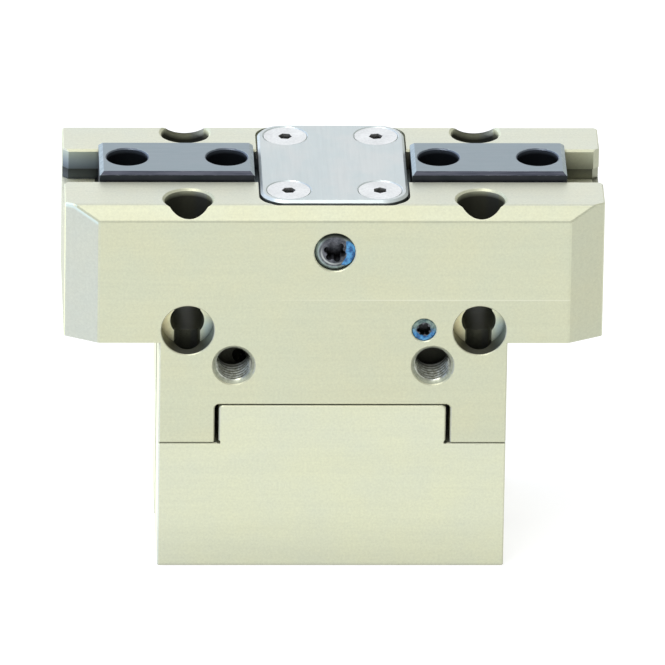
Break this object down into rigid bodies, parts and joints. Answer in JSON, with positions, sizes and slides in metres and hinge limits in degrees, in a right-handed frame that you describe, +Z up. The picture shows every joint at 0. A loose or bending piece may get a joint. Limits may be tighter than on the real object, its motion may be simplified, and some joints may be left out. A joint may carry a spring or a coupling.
{
  "type": "pneumatic parallel gripper",
  "caption": "Two-jaw parallel gripper driven by air, with a T-shaped body, sliding base jaws in a T-slot and a spring housing that keeps the jaws closed.",
  "frame": {"origin": "centre of the bottom mounting face", "axes": "+Z up towards the jaws, +X along the jaws' travel, -Y out of the face with the air ports"},
  "size_m": [0.065, 0.026, 0.0485],
  "materials": {
    "housing_anodised": "hard-anodised, pale champagne, satin",
    "spring_housing_anodised": "hard-anodised, pale champagne, satin",
    "stainless_plate": "finely brushed stainless",
    "bright_screws": "bright stainless, turned",
    "dark_screws": "black-oxide steel",
    "plug_steel": "dark zinc-plated steel",
    "lid_aluminium": "hard-anodised, turned",
    "seal_rubber": "black nitrile, matte",
    "ring_steel": "phosphated spring steel",
    "spring_steel": "drawn spring wire",
    "piston_aluminium": "turned and hard-anodised",
    "magnet_nickel": "nickel-plated",
    "hardened_steel": "hardened and ground",
    "jaw_steel": "hardened, ground, blue-grey"
  },
  "bodies": {
    "housing": {"housing": "housing_anodised", "spring_housing": "spring_housing_anodised", "cover_plate": "stainless_plate", "cover_plate_screws": "bright_screws", "spring_housing_screws": "dark_screws", "purge_air_plug": "plug_steel", "channel_plug": "plug_steel", "bottom_lid": "lid_aluminium", "lid_seal": "seal_rubber", "retaining_ring": "ring_steel", "rod_seal": "seal_rubber", "spring_housing_seal": "seal_rubber", "closing_spring": "spring_steel"},
    "piston": {"piston": "piston_aluminium", "piston_seal": "seal_rubber", "piston_magnets": "magnet_nickel", "wedge_driver": "hardened_steel", "spacer_sleeve": "piston_aluminium", "spring_plate": "hardened_steel", "draw_bolt": "dark_screws"},
    "jaw_right": {"base_jaw_right": "jaw_steel"},
    "jaw_left": {"base_jaw_left": "jaw_steel"}
  },
  "joints": [
    {"name": "piston_stroke", "type": "slide", "parent": "housing", "child": "piston", "axis": [0, 0, 1], "range_m": [0, 0.005], "stiffness_N_per_m": 1500, "springref_m": -0.002, "deforming": ["closing_spring"]},
    {"name": "jaw_right_slide", "type": "slide", "parent": "housing", "child": "jaw_right", "axis": [1, 0, 0], "range_m": [0, 0.004]},
    {"name": "jaw_left_slide", "type": "slide", "parent": "housing", "child": "jaw_left", "axis": [-1, 0, 0], "range_m": [0, 0.004]}
  ],
  "couplings": [
    {"joint": "jaw_right_slide", "follows": "piston_stroke", "ratio": 0.8},
    {"joint": "jaw_left_slide", "follows": "piston_stroke", "ratio": 0.8}
  ]
}
